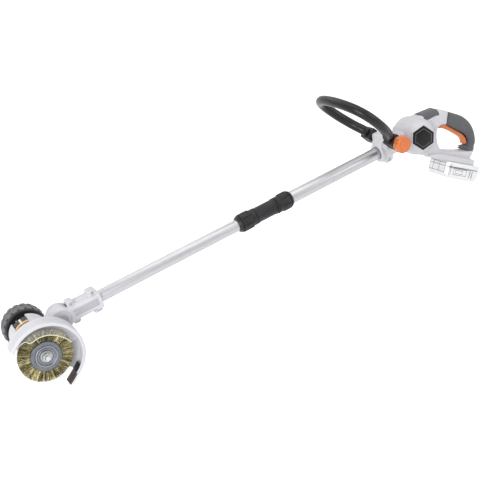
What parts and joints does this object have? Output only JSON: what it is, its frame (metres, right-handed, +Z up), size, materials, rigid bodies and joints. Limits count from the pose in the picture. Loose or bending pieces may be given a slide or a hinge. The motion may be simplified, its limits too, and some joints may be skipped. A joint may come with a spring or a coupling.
{
  "type": "cordless joint cleaner",
  "caption": "Battery wire brush joint cleaner on a telescopic pole, with hood, guide wheel, tilting head, loop handle and trigger grip.",
  "frame": {"origin": "on the floor, below the middle of the box that holds the tool at rest", "axes": "+X along the pole towards the handle as it lies, +Y from the brush towards the guide wheel, +Z up"},
  "size_m": [1.2578, 0.2238, 0.3382],
  "materials": {
    "casing": "satin",
    "grip": "matt",
    "gloss_black": "glossy",
    "black_plastic": "satin",
    "orange": "satin",
    "amber": "satin",
    "clear": "clear",
    "tube": "drawn",
    "steel": "machined",
    "zinc": "zinc plated",
    "wire": "brass coated wire",
    "motor": "satin",
    "rubber": "matt",
    "tyre": "matt",
    "board": "satin",
    "cell": "wrapped"
  },
  "bodies": {
    "handle_unit": {"upper_tube": "tube", "collar_sleeve": "black_plastic", "collet": "black_plastic", "inner_lead": "black_plastic", "loop_bracket": "casing", "bracket_screw": "steel", "body_shell_near": "casing", "body_shell_far": "casing", "badge_near": "gloss_black", "badge_far": "gloss_black", "grip_near": "grip", "grip_far": "grip", "switch": "black_plastic", "top_pad": "grip", "circuit_board": "board", "terminal_block": "black_plastic"},
    "lower_pole": {"lower_tube": "tube", "neck_shell_near": "casing", "neck_shell_far": "casing", "clamp_screw_1": "steel", "clamp_screw_2": "steel", "clamp_screw_3": "steel", "clamp_screw_4": "steel", "pivot_pin": "casing"},
    "head": {"motor_housing": "casing", "housing_cap": "casing", "hood": "casing", "visor": "clear", "flap": "rubber", "motor_can": "motor", "ring_gear": "amber", "spindle_bearing": "steel", "wheel_axle": "steel"},
    "brush": {"spindle": "steel", "brush_wire": "wire", "brush_disc_front": "zinc", "brush_disc_rear": "zinc", "flange_nut": "steel"},
    "guide_wheel": {"tyre": "tyre", "wheel_rim": "black_plastic"},
    "motor_rotor": {"rotor": "steel", "sun_gear": "steel"},
    "planet_1": {"planet_gear_1": "steel"},
    "planet_2": {"planet_gear_2": "steel"},
    "planet_3": {"planet_gear_3": "steel"},
    "front_nut": {"collar_nut_front": "black_plastic"},
    "rear_nut": {"collar_nut_rear": "black_plastic"},
    "loop": {"loop_handle": "gloss_black", "loop_end_near": "black_plastic", "loop_end_far": "black_plastic", "loop_bolt": "steel"},
    "clamp_knob": {"knob": "orange"},
    "trigger_lever": {"trigger": "orange"},
    "lock_off": {"lock_button": "orange"},
    "battery": {"battery_lid": "casing", "battery_case": "casing", "cell_pack": "cell"},
    "battery_latch": {"battery_button": "orange"}
  },
  "joints": [
    {"name": "pole_slide", "type": "slide", "parent": "handle_unit", "child": "lower_pole", "axis": [0.9972, 0, 0.0752], "range_m": [-0.12, 0.22]},
    {"name": "head_tilt", "type": "hinge", "parent": "lower_pole", "child": "head", "pos_m": [-0.50193, -0.01151, 0.1016], "axis": [0.0133, 0.9843, -0.1757], "range_deg": [-30, 60]},
    {"name": "brush_spin", "type": "hinge", "parent": "head", "child": "brush", "pos_m": [-0.56449, -0.07874, 0.0788], "axis": [0.0133, 0.9843, -0.1757], "continuous": true},
    {"name": "guide_wheel_spin", "type": "hinge", "parent": "head", "child": "guide_wheel", "pos_m": [-0.56229, 0.08466, 0.04962], "axis": [0.0133, 0.9843, -0.1757], "continuous": true},
    {"name": "rotor_spin", "type": "hinge", "parent": "head", "child": "motor_rotor", "pos_m": [-0.56306, 0.02757, 0.05981], "axis": [0.0133, 0.9843, -0.1757], "continuous": true},
    {"name": "planet_1_spin", "type": "hinge", "parent": "brush", "child": "planet_1", "pos_m": [-0.54544, 0.00296, 0.06556], "axis": [0.0133, 0.9843, -0.1757], "continuous": true},
    {"name": "planet_2_spin", "type": "hinge", "parent": "brush", "child": "planet_2", "pos_m": [-0.57352, 0.00571, 0.07883], "axis": [0.0133, 0.9843, -0.1757], "continuous": true},
    {"name": "planet_3_spin", "type": "hinge", "parent": "brush", "child": "planet_3", "pos_m": [-0.57121, 0.00022, 0.04823], "axis": [0.0133, 0.9843, -0.1757], "continuous": true},
    {"name": "front_nut_turn", "type": "hinge", "parent": "handle_unit", "child": "front_nut", "pos_m": [-0.04024, -0.01151, 0.13644], "axis": [0.9972, 0, 0.0752], "range_deg": [0, 120]},
    {"name": "rear_nut_turn", "type": "hinge", "parent": "handle_unit", "child": "rear_nut", "pos_m": [0.06047, -0.01151, 0.14403], "axis": [0.9972, 0, 0.0752], "range_deg": [-120, 0]},
    {"name": "loop_tilt", "type": "hinge", "parent": "handle_unit", "child": "loop", "pos_m": [0.35969, -0.00692, 0.19228], "axis": [0.0133, 0.9843, -0.1757], "range_deg": [-40, 60]},
    {"name": "knob_turn", "type": "hinge", "parent": "loop", "child": "clamp_knob", "pos_m": [0.35874, -0.0773, 0.20484], "axis": [-0.0133, -0.9843, 0.1757], "range_deg": [0, 360]},
    {"name": "trigger_pull", "type": "hinge", "parent": "handle_unit", "child": "trigger_lever", "pos_m": [0.53143, -0.01221, 0.17562], "axis": [-0.0133, -0.9843, 0.1757], "range_deg": [0, 5], "stiffness_Nm_per_rad": 5},
    {"name": "lock_press", "type": "slide", "parent": "handle_unit", "child": "lock_off", "axis": [0.0741, -0.1762, -0.9816], "range_m": [0, 0.0025], "stiffness_N_per_m": 1500},
    {"name": "battery_slide", "type": "slide", "parent": "handle_unit", "child": "battery", "axis": [0.8849, -0.0934, -0.4563], "range_m": [0, 0.13]},
    {"name": "battery_button_press", "type": "slide", "parent": "battery", "child": "battery_latch", "axis": [-0.4656, -0.1495, -0.8723], "range_m": [0, 0.003], "stiffness_N_per_m": 1500}
  ],
  "couplings": [
    {"joint": "rotor_spin", "follows": "brush_spin", "ratio": 4},
    {"joint": "planet_1_spin", "follows": "brush_spin", "ratio": -3},
    {"joint": "planet_2_spin", "follows": "brush_spin", "ratio": -3},
    {"joint": "planet_3_spin", "follows": "brush_spin", "ratio": -3}
  ]
}
